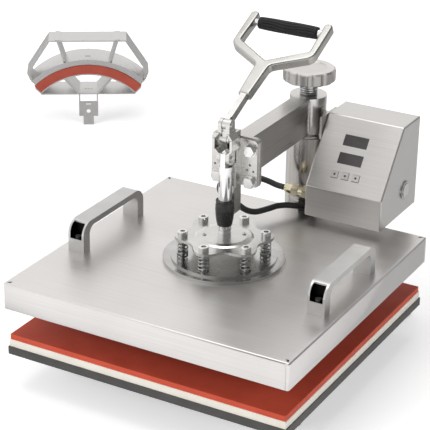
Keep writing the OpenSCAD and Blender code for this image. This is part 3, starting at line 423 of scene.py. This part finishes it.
# every CAD node: its finish and the rounding of its edges in millimetres
nodeFinish = {
    "base_frame": ("blackPaint", 1.5), "rubber_feet": ("blackRubber", 0.8),
    "tray_standoffs": ("brightSteel", 0.5), "lower_tray": ("blackPaint", 1.0),
    "sponge_layer": ("creamSponge", 1.2), "silicone_pad": ("redSilicone", 1.2),
    "post": ("postSteel", 0.6), "post_bolts": ("brightSteel", 0.4),
    "post_bushes": ("postSteel", 0.3), "swing_shaft": ("chrome", 0.5),
    "shaft_key": ("brightSteel", 0.3), "knob": ("knobSteelPaintedShade", 0.8),
    "spindle": ("springSteel", 0.15), "arm_sleeve": ("postSteel", 0.8),
    "sleeve_cap": ("postSteel", 0.5), "arm_beam": ("beamSteel", 1.2),
    "arm_end_plate": ("beamSteel", 0.8), "clamp_bracket": ("platedSteel", 0.6),
    "clamp_bolts": ("brightSteel", 0.7), "pivot_pin": ("brightSteel", 0.3),
    "rod_barrel": ("blackPlastic", 0.4), "box_bracket": ("beamSteel", 0.6),
    "box_shell": ("boxSteel", 0.7), "box_back": ("boxSteel", 0.3),
    "box_screws": ("brightSteel", 0.3), "display_windows": ("displayGlass", 0.2),
    "circuit_board": ("boardGreen", 0.0), "power_bezel": ("springSteel", 0.5),
    "cable_gland": ("brass", 0.4), "power_inlet": ("blackPlastic", 0.4),
    "heater_cable": ("blackRubber", 0.0), "key_left": ("keyPlastic", 0.4),
    "key_middle": ("keyPlastic", 0.4), "key_right": ("keyPlastic", 0.4),
    "power_button": ("platedSteel", 0.8), "lever": ("platedSteel", 0.8),
    "hand_frame": ("frameSteel", 2.2), "grip_rod": ("chrome", 0.4), "grip": ("gripRubber", 0.4),
    "link_left": ("platedSteel", 0.5), "link_right": ("platedSteel", 0.5),
    "link_pins": ("brightSteel", 0.4), "plunger_rod": ("chrome", 0.4),
    "star_plate": ("platedSteel", 0.8), "hub_plate": ("platedSteel", 0.4),
    "platen_cover": ("coverSteel", 0.7), "heating_plate": ("plateCoat", 0.8),
    "insulation": ("creamSponge", 0.0), "mount_disc": ("discSteel", 0.8),
    "suspension_bolts": ("brightSteel", 0.4), "suspension_springs": ("springSteel", 0.0),
    "handle_left": ("handleMetalPaintedShade", 1.4), "handle_right": ("handleMetalPaintedShade", 1.4),
    "handle_screws": ("blackPaint", 0.3), "cable_hood": ("blackPlastic", 1.0),
    "cap_form": ("bandSteel", 0.5), "cap_pad": ("capSilicone", 1.0),
    "cap_bracket": ("bandSteel", 0.4), "cap_heater": ("bandSteel", 0.5),
    "cap_bridge": ("bandSteel", 0.6),
}

edgeRounding = {
    "joinBelow": 0.6,    # faces that turn less than this, in degrees, are one face
    "roundAbove": 28.0,  # edges that turn more than this are rounded
    "segments": 3,
}


def roundEdges(thing, width, spec):
    # flat faces are joined first, so that the rounding has clean edges to follow
    flat = thing.modifiers.new("joinFlats", "DECIMATE")
    flat.decimate_type = "DISSOLVE"
    flat.angle_limit = math.radians(spec["joinBelow"])
    edge = thing.modifiers.new("softEdge", "BEVEL")
    edge.width = width * mm
    edge.segments = spec["segments"]
    edge.limit_method = "ANGLE"
    edge.angle_limit = math.radians(spec["roundAbove"])
    edge.harden_normals = True


for node, (finish, width) in nodeFinish.items():
    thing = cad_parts[node]
    setFinish(thing, finish)
    if width > 0:
        roundEdges(thing, width, edgeRounding)
print("nodes finished", len(nodeFinish))

# folded sheet cover of the platen, its sides meeting in a seam at the right end of each face
coverShell = {
    "width": 390.0,
    "bottom": 112.0,
    "top": 147.0,
    "wall": 1.5,
    "fold": 2.6,
    "corner": 3.2,
    "seamFrom": 4.6,
    "seamWidth": 1.3,
    "seamDepth": 1.1,
    "seamEase": 0.3,
    "hem": 8.0,          # how far the inner face of the side is drawn upwards
    "rim": (0.4, 0.5),   # bevel at the lower edge, inwards and upwards
    "flat": 6.0,         # from the fold to where the top is one face
    "foldSteps": 8,
    "seamSteps": 6,
    "cornerSteps": 5,
}


def coverLoop(spec, inset, seam):
    # one closed loop round the cover, drawn for the front side and turned four times
    half = spec["width"] / 2 - inset
    corner = max(0.4, spec["corner"] - inset)
    a = spec["width"] / 2 - spec["seamFrom"] - spec["seamWidth"]
    b = a + spec["seamWidth"]
    ease = spec["seamEase"]
    steps = spec["cornerSteps"]
    side = [(0.0, -half), (a - ease, -half), (a, -half + seam), (b, -half + seam), (b + ease, -half)]
    for k in range(steps):
        turn = math.radians(-90 + 90 * k / steps)
        side.append((half - corner + corner * math.cos(turn), -half + corner + corner * math.sin(turn)))
    loop = []
    for quarter in range(4):
        c, d = ((1, 0), (0, 1), (-1, 0), (0, -1))[quarter]
        loop += [(x * c - y * d, x * d + y * c) for x, y in side]
    return loop


def makeCover(spec):
    # levels from the inside of the lower edge to the top: inset, height, depth of the seam
    fold = spec["fold"]
    wall = spec["wall"]
    bottom = spec["bottom"]
    top = spec["top"]
    seam = spec["seamDepth"]
    rimIn, rimUp = spec["rim"]
    levels = [(wall, bottom + spec["hem"], 0.0), (wall, bottom, 0.0), (rimIn, bottom, spec["seamEase"])]
    levels += [(0.0, bottom + rimUp, seam), (0.0, top - fold, seam)]
    for k in range(1, spec["foldSteps"] + 1):
        turn = math.radians(90 * k / spec["foldSteps"])
        depth = seam * max(0.0, 1 - k / spec["seamSteps"])
        levels.append((fold - fold * math.cos(turn), top - fold + fold * math.sin(turn), depth))
    levels.append((fold + spec["flat"], top, 0.0))
    points = []
    for inset, z, seam in levels:
        points += [Vector((x, y, z)) * mm for x, y in coverLoop(spec, inset, seam)]
    around = len(points) // len(levels)
    faces = []
    for i in range(len(levels) - 1):
        for k in range(around):
            n = (k + 1) % around
            faces.append((i * around + k, i * around + n, (i + 1) * around + n, (i + 1) * around + k))
    last = (len(levels) - 1) * around
    faces.append(tuple(range(last, last + around)))
    faces.append(tuple(range(around - 1, -1, -1)))
    shell = addObject("coverShell", meshFrom("coverShell", points, faces))
    shell.data.polygons[len(faces) - 2].use_smooth = False
    setFinish(shell, "coverSteel")
    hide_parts("platen_cover")
    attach(shell, "platen")
    return shell


makeCover(coverShell)
print("cover made")


# outlines and faces shared by the hand frame and the box
def insetLoop(loop, amount):
    # moves every corner of a closed flat loop inwards, the loop running anticlockwise
    moved = []
    for i, here in enumerate(loop):
        before = (here - loop[i - 1]).normalized()
        after = (loop[(i + 1) % len(loop)] - here).normalized()
        first = Vector((-before.y, before.x))
        second = Vector((-after.y, after.x))
        middle = (first + second).normalized()
        moved.append(here + middle * (amount / max(0.4, middle.dot(first))))
    return moved


def roundedLoop(corners, chords=6):
    # corners as (x, y, radius), each arc drawn with short chords
    loop = []
    for i, (x, y, radius) in enumerate(corners):
        here = Vector((x, y))
        before = (Vector(corners[i - 1][:2]) - here).normalized()
        after = (Vector(corners[(i + 1) % len(corners)][:2]) - here).normalized()
        if radius == 0:
            loop.append(here)
            continue
        half = before.angle(after) / 2
        reach = radius / math.tan(half)
        centre = here + (before + after).normalized() * (radius / math.sin(half))
        start = here + before * reach - centre
        end = here + after * reach - centre
        sweep = start.angle_signed(end)
        for k in range(chords + 1):
            turn = -sweep * k / chords
            c, d = math.cos(turn), math.sin(turn)
            loop.append(centre + Vector((start.x * c - start.y * d, start.x * d + start.y * c)))
    return loop


def loftFaces(levels, around, skip=()):
    faces = []
    for i in range(levels - 1):
        for k in range(around):
            n = (k + 1) % around
            if (i, k) not in skip:
                faces.append((i * around + k, i * around + n, (i + 1) * around + n, (i + 1) * around + k))
    return faces


def keepFlats(thing, angle=24.0):
    # flat faces keep their own direction, folds stay smooth
    thing.data.set_sharp_from_angle(angle=math.radians(angle))
    flat = thing.modifiers.new("flatFaces", "WEIGHTED_NORMAL")
    flat.keep_sharp = True


# cast hand frame of the lever, its bars well rounded
castFrame = {
    "pivot": (0, 5, 326),
    "angle": 26.0,
    "thick": 13.0,
    "edge": 2.6,
    "edgeSteps": 6,
    # half of the outline: across, along the lever, corner radius
    "half": [(7.5, 50.0, 0), (9.6, 103.1, 9.0), (57.9, 129.6, 15.5), (57.9, 191.7, 5.2), (46.2, 192.1, 5.2),
             (48.3, 138.8, 4.0)],
    "notch": (0.0, 110.7, 4.0),   # middle of the outline, where the two arms part
}


def makeFrame(spec):
    corners = list(spec["half"]) + [spec["notch"]]
    corners += [(-x, y, r) for x, y, r in reversed(spec["half"])]
    loop = roundedLoop(corners)
    half = spec["thick"] / 2
    edge = spec["edge"]
    onLever = leverPlace(spec["pivot"], spec["angle"])
    points = []
    turns = [math.radians(90 * k / spec["edgeSteps"]) for k in range(spec["edgeSteps"] + 1)]
    levels = [(edge - edge * math.sin(t), -half + edge - edge * math.cos(t)) for t in turns]
    levels += [(edge - edge * math.cos(t), half - edge + edge * math.sin(t)) for t in turns]
    for inset, height in levels:
        points += [onLever @ Vector((p.x, p.y, height)) * mm for p in insetLoop(loop, inset)]
    around = len(loop)
    faces = loftFaces(len(levels), around)
    last = (len(levels) - 1) * around
    flat = [Vector((p.x, p.y, 0)) for p in insetLoop(loop, edge)]
    for a, b, c in tessellate_polygon([flat]):
        if (flat[b] - flat[a]).cross(flat[c] - flat[a]).z < 0:
            b, c = c, b
        faces.append((last + a, last + b, last + c))
        faces.append((c, b, a))
    thing = addObject("castFrame", meshFrom("castFrame", points, faces))
    keepFlats(thing)
    setFinish(thing, "frameSteel")
    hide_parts("hand_frame")
    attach(thing, "hand_lever")
    return thing


makeFrame(castFrame)
print("frame made")

# folded shell of the control box, with openings for the displays and keys
boxShell = {
    "left": 36.0,
    "right": 145.0,
    # outline seen from the right: back and up, with the fold radius
    "outline": [
        (156.0, 156.0, 2.2), (268.0, 156.0, 0), (268.0, 280.0, 0), (218.0, 280.0, 3.0), (156.0, 199.0, 3.0),
    ],
    "backFace": 267.6,
    "backInset": 0.2,
    "fold": 2.4,
    "foldSteps": 5,
    "wall": 1.5,
    "windows": {"x": 50.0, "rows": (45.7, 70.5), "size": (34.0, 15.4)},
    "keys": {"columns": (35.3, 50.2, 65.3), "row": 22.6, "size": 10.2},
}


def boxOpenings(spec):
    openings = []
    w, h = spec["windows"]["size"]
    for row in spec["windows"]["rows"]:
        x = spec["left"] + spec["windows"]["x"]
        openings.append((x - w / 2, x + w / 2, row - h / 2, row + h / 2))
    half = spec["keys"]["size"] / 2
    for column in spec["keys"]["columns"]:
        x = spec["left"] + column
        row = spec["keys"]["row"]
        openings.append((x - half, x + half, row - half, row + half))
    return openings


def makeBox(spec):
    loop = roundedLoop(spec["outline"])
    around = len(loop)
    fold = spec["fold"]
    turns = [math.radians(90 * k / spec["foldSteps"]) for k in range(spec["foldSteps"] + 1)]
    levels = [(spec["left"] + fold - fold * math.cos(t), fold - fold * math.sin(t)) for t in turns]
    levels += [(spec["right"] - fold + fold * math.sin(t), fold - fold * math.cos(t)) for t in turns]
    back = spec["outline"][1][0]
    atBack = back - 0.01
    points = []
    for x, inset in levels:
        for before, here in zip(loop, insetLoop(loop, inset)):
            y = back if before.x > atBack else here.x
            points.append(Vector((x, y, here.y)) * mm)
    corner = Vector(spec["outline"][4][:2])
    up = (Vector(spec["outline"][3][:2]) - corner).normalized()
    slope = max(range(around), key=lambda k: (loop[k] - loop[(k + 1) % around]).dot(up))
    rear = [k for k in range(around) if loop[k].x > atBack and loop[(k + 1) % around].x > atBack]
    middle = len(turns) - 1
    missing = {(i, k) for i in range(len(levels)) for k in rear}
    missing.add((middle, slope))
    faces = loftFaces(len(levels), around, missing)
    last = (len(levels) - 1) * around
    faces.append(tuple(range(last, last + around)))
    faces.append(tuple(range(around - 1, -1, -1)))

    # sloping panel as a grid with openings
    top = loop[slope]
    foot = loop[(slope + 1) % around]
    into = Vector((up.y, -up.x))
    openings = boxOpenings(spec)
    xs = sorted({spec["left"] + fold, spec["right"] - fold} | {v for o in openings for v in o[:2]})
    rows = sorted({(foot - corner).dot(up), (top - corner).dot(up)} | {v for o in openings for v in o[2:]})

    def panelPoint(x, row, depth=0.0):
        flat = corner + up * row + into * depth
        points.append(Vector((x, flat.x, flat.y)) * mm)
        return len(points) - 1

    grid = [[panelPoint(x, row) for x in xs] for row in rows]
    for j in range(len(rows) - 1):
        for i in range(len(xs) - 1):
            x = (xs[i] + xs[i + 1]) / 2
            row = (rows[j] + rows[j + 1]) / 2
            if not any(o[0] < x < o[1] and o[2] < row < o[3] for o in openings):
                faces.append((grid[j][i], grid[j][i + 1], grid[j + 1][i + 1], grid[j + 1][i]))
    for left, right, low, high in openings:
        square = ((left, low), (right, low), (right, high), (left, high))
        rim = [panelPoint(x, row) for x, row in square]
        deep = [panelPoint(x, row, spec["wall"]) for x, row in square]
        for k in range(4):
            n = (k + 1) % 4
            faces.append((rim[k], rim[n], deep[n], deep[k]))

    # back, just inside the outer face of the back plate
    y = spec["backFace"]
    gap = spec["backInset"]
    a, b = spec["left"] + gap, spec["right"] - gap
    low, high = spec["outline"][0][1] + gap, spec["outline"][2][1] - gap
    count = len(points)
    points += [Vector(p) * mm for p in ((b, y, low), (a, y, low), (a, y, high), (b, y, high))]
    faces.append((count, count + 1, count + 2, count + 3))
    thing = addObject("boxSheet", meshFrom("boxSheet", points, faces))
    joinClose(thing.data, 0.00001)
    keepFlats(thing)
    setFinish(thing, "boxSteel")
    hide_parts("box_shell")
    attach(thing, "arm")
    return thing


makeBox(boxShell)
print("box made")

# suspension springs, one round wire each between the disc and the star plate
springs = {
    "centre": (0, 5),
    "ring": 52.0,
    "count": 6,
    "turn": 30.0,
    "radius": 6.3,
    "wire": 1.0,
    "bottom": 153.0,
    "top": 173.6,
    "turns": 5.0,
    "endTurns": 0.7,     # closed turns at each end, which rise less than the rest
    "slowRise": 0.12,
    "steps": 20,
    "sides": 8,
    "give": 3.0,         # how far they squash
}


def makeSprings(spec):
    points = []
    faces = []
    low = spec["bottom"] + spec["wire"]
    high = spec["top"] - spec["wire"]
    total = int(spec["turns"] * spec["steps"])
    for n in range(spec["count"]):
        a = math.radians(spec["turn"] + n * 360 / spec["count"])
        x = spec["centre"][0] + spec["ring"] * math.cos(a)
        y = spec["centre"][1] + spec["ring"] * math.sin(a)
        wire = []
        for i in range(total + 1):
            share = i / total
            spread = (share * spec["turns"] - spec["endTurns"]) / (spec["turns"] - 2 * spec["endTurns"])
            spread = min(1.0, max(0.0, spread))
            z = low + (high - low) * (spec["slowRise"] * share + (1 - spec["slowRise"]) * spread)
            b = 2 * math.pi * i / spec["steps"]
            wire.append(Vector((x + spec["radius"] * math.cos(b), y + spec["radius"] * math.sin(b), z)) * mm)
        ringPoints, ringFaces = tubeParts(wire, spec["wire"] * mm, spec["sides"])
        faces += [tuple(len(points) + k for k in face) for face in ringFaces]
        points += ringPoints
    coils = addObject("springCoils", meshFrom("springCoils", points, faces))
    setFinish(coils, "springSteel")
    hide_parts("suspension_springs")
    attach(coils, "platen")
    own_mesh(coils)
    return coils


makeSprings(springs)
print("springs made")

# ribbed grip on the hand frame
handGrip = {
    "reach": 178.0,
    "length": 83.0,
    "radius": 8.5,
    "bore": 5.0,
    "ribs": 14,
    "ribDepth": 1.0,
    "wave": 0.12,
    "waves": 1.5,
    "taper": 0.7,
    "ribFade": 0.07,
    "endLip": 0.5,       # the rounded end: along, then inwards at its face and behind it
    "endIn": (1.6, 0.9),
    "around": 112,
    "along": 56,
    "pivot": (0, 5, 326),
    "angle": 26.0,
}


def makeGrip(spec):
    points = []
    faces = []
    half = spec["length"] / 2
    onLever = leverPlace(spec["pivot"], spec["angle"])
    lip = spec["endLip"]
    face = spec["radius"] - spec["endIn"][0]
    behind = spec["radius"] - spec["endIn"][1]
    start = 1.2
    profile = [(-half, spec["bore"]), (-half, face), (-half + lip, behind)]
    for i in range(spec["along"] + 1):
        t = i / spec["along"]
        x = -half + start + t * (spec["length"] - 2 * start)
        barrel = spec["radius"] - spec["taper"] * abs(2 * t - 1) ** 3
        profile.append((x, barrel))
    profile += [(half - lip, behind), (half, face), (half, spec["bore"])]
    for i, (x, r) in enumerate(profile):
        t = (x + half) / spec["length"]
        fade = min(1.0, max(0.0, min(t, 1 - t) / spec["ribFade"]))
        for k in range(spec["around"]):
            a = 2 * math.pi * k / spec["around"]
            twist = spec["wave"] * math.sin(2 * math.pi * t * spec["waves"])
            rib = abs(math.cos(0.5 * spec["ribs"] * (a + twist)))
            groove = fade * spec["ribDepth"] * (1 - rib) ** 2 * 1.6
            deep = r - groove if 3 <= i < len(profile) - 3 else r
            points.append(onLever @ Vector((x, spec["reach"] + deep * math.cos(a), deep * math.sin(a))) * mm)
    rows = len(profile)
    around = spec["around"]
    for i in range(rows):
        j = (i + 1) % rows
        for k in range(around):
            n = (k + 1) % around
            faces.append((i * around + k, i * around + n, j * around + n, j * around + k))
    grip = addObject("ribbedGrip", meshFrom("ribbedGrip", points, faces))
    setFinish(grip, "gripRubber")
    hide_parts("grip")
    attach(grip, "hand_lever")
    return grip


makeGrip(handGrip)
print("grip made")

# weld bead that holds the beam to the sleeve, both sides
weldBead = {
    "x": 12.2,
    "y": 208.4,
    "bottom": 247.5,
    "top": 294.5,
    "radius": 1.5,
    "ripple": 0.22,
    "pitch": 1.7,
    "steps": 90,
    "sides": 12,
}


def makeWeld(spec):
    points = []
    faces = []
    for side in (-1, 1):
        route = []
        for i in range(spec["steps"] + 1):
            z = spec["bottom"] + (spec["top"] - spec["bottom"]) * i / spec["steps"]
            route.append(Vector((side * spec["x"], spec["y"], z)) * mm)

        def ripple(i):
            z = (spec["top"] - spec["bottom"]) * i / spec["steps"]
            ends = min(1.0, (min(i, spec["steps"] - i) + 1) / 4)
            wave = math.sin(2 * math.pi * z / spec["pitch"])
            return (spec["radius"] * ends + spec["ripple"] * wave) * mm

        ringPoints, ringFaces = tubeParts(route, 0, spec["sides"], (1, 0, 0), ripple)
        faces += [tuple(len(points) + k for k in face) for face in ringFaces]
        points += ringPoints
    bead = addObject("weldBead", meshFrom("weldBead", points, faces))
    setFinish(bead, "brightSteel")
    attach(bead, "arm")
    return bead


makeWeld(weldBead)
print("weld made")

# dark dots on the three keys
keyDots = {
    "origin": (36, 156, 199),
    "slope": (62, 81),
    "places": {"key_left": 35.3, "key_middle": 50.2, "key_right": 65.3},
    "height": 22.6,
    "lift": 1.2,
    "radius": 1.5,
    # from the middle outwards: share of the radius and height of the dome
    "dome": [(0.0, 0.22), (0.55, 0.2), (0.9, 0.12), (1.0, 0.0)],
    "sides": 24,
}


def makeDots(spec):
    along, rise = spec["slope"]
    up = Vector((0, along, rise)).normalized()
    out = Vector((0, -rise, along)).normalized()
    for key, x in spec["places"].items():
        centre = Vector(spec["origin"]) + Vector((x, 0, 0)) + up * spec["height"] + out * spec["lift"]
        points = []
        sides = spec["sides"]
        for r, lift in spec["dome"]:
            for k in range(sides):
                a = 2 * math.pi * k / sides
                wide = r * spec["radius"]
                across = Vector((wide * math.cos(a), 0, 0))
                points.append((centre + across + up * wide * math.sin(a) + out * lift) * mm)
        faces = []
        for i in range(len(spec["dome"]) - 1):
            for k in range(sides):
                n = (k + 1) % sides
                faces.append((i * sides + k, (i + 1) * sides + k, (i + 1) * sides + n, i * sides + n))
        name = "dot_" + key
        dot = addObject(name, meshFrom(name, points, faces))
        joinClose(dot.data, 0.000001)
        setFinish(dot, "keyDot")
        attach(dot, key)


makeDots(keyDots)
print("key dots made")

# floor, lights and world
studio = {
    "floorSize": 60.0,
    "floorTone": 0.92,
    # glow that the camera sees, near the press and far from it
    "floorSeen": (0.44, 0.80),
    "floorReach": (0.7, 1.8),
    # glow that metal sees, from the front of the floor to behind the press
    "floorMirrored": (0.38, 0.02),
    "floorFade": (-0.40, 0.60),
    "worldFill": 0.55,
    "worldMirrored": 1.32,
    # tones of the world from the horizon upwards
    "worldTones": [
        (0.0, (0.95, 0.95, 0.95)), (0.15, (0.90, 0.895, 0.89)), (0.40, (0.78, 0.775, 0.77)),
        (0.62, (0.74, 0.735, 0.73)), (1.0, (0.85, 0.85, 0.85)),
    ],
    # it darkens from left to right: where, and by how much
    "worldAcross": (-0.4, 0.5),
    "worldShare": (1.0, 0.25),
    "lamps": [
        # name, place, aim, size, power, seen in metal
        ("keyLamp", (-1.6, -3.0, 1.5), (0, 0, 0.1), 1.8, 66.0, False),
        ("sideLamp", (3.2, -0.7, 1.3), (0, 0, 0.1), 1.8, 48.0, False),
        ("topLamp", (-0.2, 0.0, 2.8), (0, 0, 0.15), 1.8, 22.0, True),
    ],
}


def makeFloor(spec):
    half = spec["floorSize"] / 2
    corners = [(-half, -half, 0), (half, -half, 0), (half, half, 0), (-half, half, 0)]
    mesh = meshFrom("floor", corners, [(0, 1, 2, 3)])
    floor = addObject("floor", mesh)
    finish, nodes, links, shader = newFinish("floorPaper", Roughness=0.9)
    shader.inputs["Base Color"].default_value = (spec["floorTone"],) * 3 + (1,)
    shader.inputs["Specular IOR Level"].default_value = 0.0
    path = nodes.new("ShaderNodeLightPath")
    mirrored = nodes.new("ShaderNodeMath")
    mirrored.operation = "ADD"
    mirrored.use_clamp = True
    links.new(path.outputs["Is Glossy Ray"], mirrored.inputs[0])
    links.new(path.outputs["Is Transmission Ray"], mirrored.inputs[1])
    place = nodes.new("ShaderNodeTexCoord")
    apart = nodes.new("ShaderNodeSeparateXYZ")
    links.new(place.outputs["Object"], apart.inputs["Vector"])
    fade = nodes.new("ShaderNodeMapRange")
    fade.interpolation_type = "SMOOTHSTEP"
    fade.inputs["From Min"].default_value = spec["floorFade"][0]
    fade.inputs["From Max"].default_value = spec["floorFade"][1]
    fade.inputs["To Min"].default_value = spec["floorMirrored"][0]
    fade.inputs["To Max"].default_value = spec["floorMirrored"][1]
    links.new(apart.outputs["Y"], fade.inputs["Value"])
    low = nodes.new("ShaderNodeMath")
    low.operation = "MULTIPLY"
    links.new(mirrored.outputs["Value"], low.inputs[0])
    links.new(fade.outputs["Result"], low.inputs[1])
    reach = nodes.new("ShaderNodeVectorMath")
    reach.operation = "LENGTH"
    links.new(place.outputs["Object"], reach.inputs[0])
    seen = nodes.new("ShaderNodeMapRange")
    seen.inputs["From Min"].default_value = spec["floorReach"][0]
    seen.inputs["From Max"].default_value = spec["floorReach"][1]
    seen.inputs["To Min"].default_value = spec["floorSeen"][0]
    seen.inputs["To Max"].default_value = spec["floorSeen"][1]
    links.new(reach.outputs["Value"], seen.inputs["Value"])
    lift = nodes.new("ShaderNodeMath")
    lift.operation = "MULTIPLY_ADD"
    links.new(seen.outputs["Result"], lift.inputs[1])
    links.new(path.outputs["Is Camera Ray"], lift.inputs[0])
    links.new(low.outputs["Value"], lift.inputs[2])
    glow = nodes.new("ShaderNodeEmission")
    links.new(lift.outputs["Value"], glow.inputs["Strength"])
    both = nodes.new("ShaderNodeAddShader")
    links.new(shader.outputs["BSDF"], both.inputs[0])
    links.new(glow.outputs["Emission"], both.inputs[1])
    links.new(both.outputs["Shader"], nodes["Material Output"].inputs["Surface"])
    floor.data.materials.append(finish)


def makeLamps(spec):
    for name, place, aim, size, power, mirrored in spec["lamps"]:
        data = bpy.data.lights.new(name, "AREA")
        data.shape = "SQUARE"
        data.size = size
        data.energy = power
        lamp = bpy.data.objects.new(name, data)
        lamp.visible_glossy = mirrored
        towards = Vector(aim) - Vector(place)
        turned = towards.to_track_quat("-Z", "Y").to_matrix().to_4x4()
        lamp.matrix_world = Matrix.Translation(place) @ turned
        bpy.context.scene.collection.objects.link(lamp)


def makeWorld(spec):
    # paler towards the horizon, darker towards the right
    world = bpy.data.worlds.new("studioWorld")
    bpy.context.scene.world = world
    world.use_nodes = True
    nodes = world.node_tree.nodes
    links = world.node_tree.links
    shade = nodes["Background"]
    place = nodes.new("ShaderNodeTexCoord")
    apart = nodes.new("ShaderNodeSeparateXYZ")
    links.new(place.outputs["Generated"], apart.inputs["Vector"])
    height = toned(nodes, links, apart.outputs["Z"], spec["worldTones"])
    side = nodes.new("ShaderNodeMapRange")
    side.inputs["From Min"].default_value = spec["worldAcross"][0]
    side.inputs["From Max"].default_value = spec["worldAcross"][1]
    side.inputs["To Min"].default_value = spec["worldShare"][0]
    side.inputs["To Max"].default_value = spec["worldShare"][1]
    side.interpolation_type = "SMOOTHSTEP"
    links.new(apart.outputs["X"], side.inputs["Value"])
    sky = nodes.new("ShaderNodeVectorMath")
    sky.operation = "SCALE"
    links.new(height, sky.inputs[0])
    links.new(side.outputs["Result"], sky.inputs["Scale"])
    links.new(sky.outputs["Vector"], shade.inputs["Color"])
    path = nodes.new("ShaderNodeLightPath")
    mix = nodes.new("ShaderNodeMix")
    mix.data_type = "FLOAT"
    mix.inputs["A"].default_value = spec["worldFill"]
    mix.inputs["B"].default_value = spec["worldMirrored"]
    links.new(path.outputs["Is Glossy Ray"], mix.inputs["Factor"])
    links.new(mix.outputs["Result"], shade.inputs["Strength"])
    # plain white where the view meets no floor
    backdrop = nodes.new("ShaderNodeBackground")
    backdrop.inputs["Color"].default_value = (1, 1, 1, 1)
    seen = nodes.new("ShaderNodeMixShader")
    links.new(path.outputs["Is Camera Ray"], seen.inputs["Fac"])
    links.new(shade.outputs["Background"], seen.inputs[1])
    links.new(backdrop.outputs["Background"], seen.inputs[2])
    links.new(seen.outputs["Shader"], nodes["World Output"].inputs["Surface"])


makeFloor(studio)
makeLamps(studio)
makeWorld(studio)
bpy.context.scene.view_settings.view_transform = "Standard"
print("studio ready")
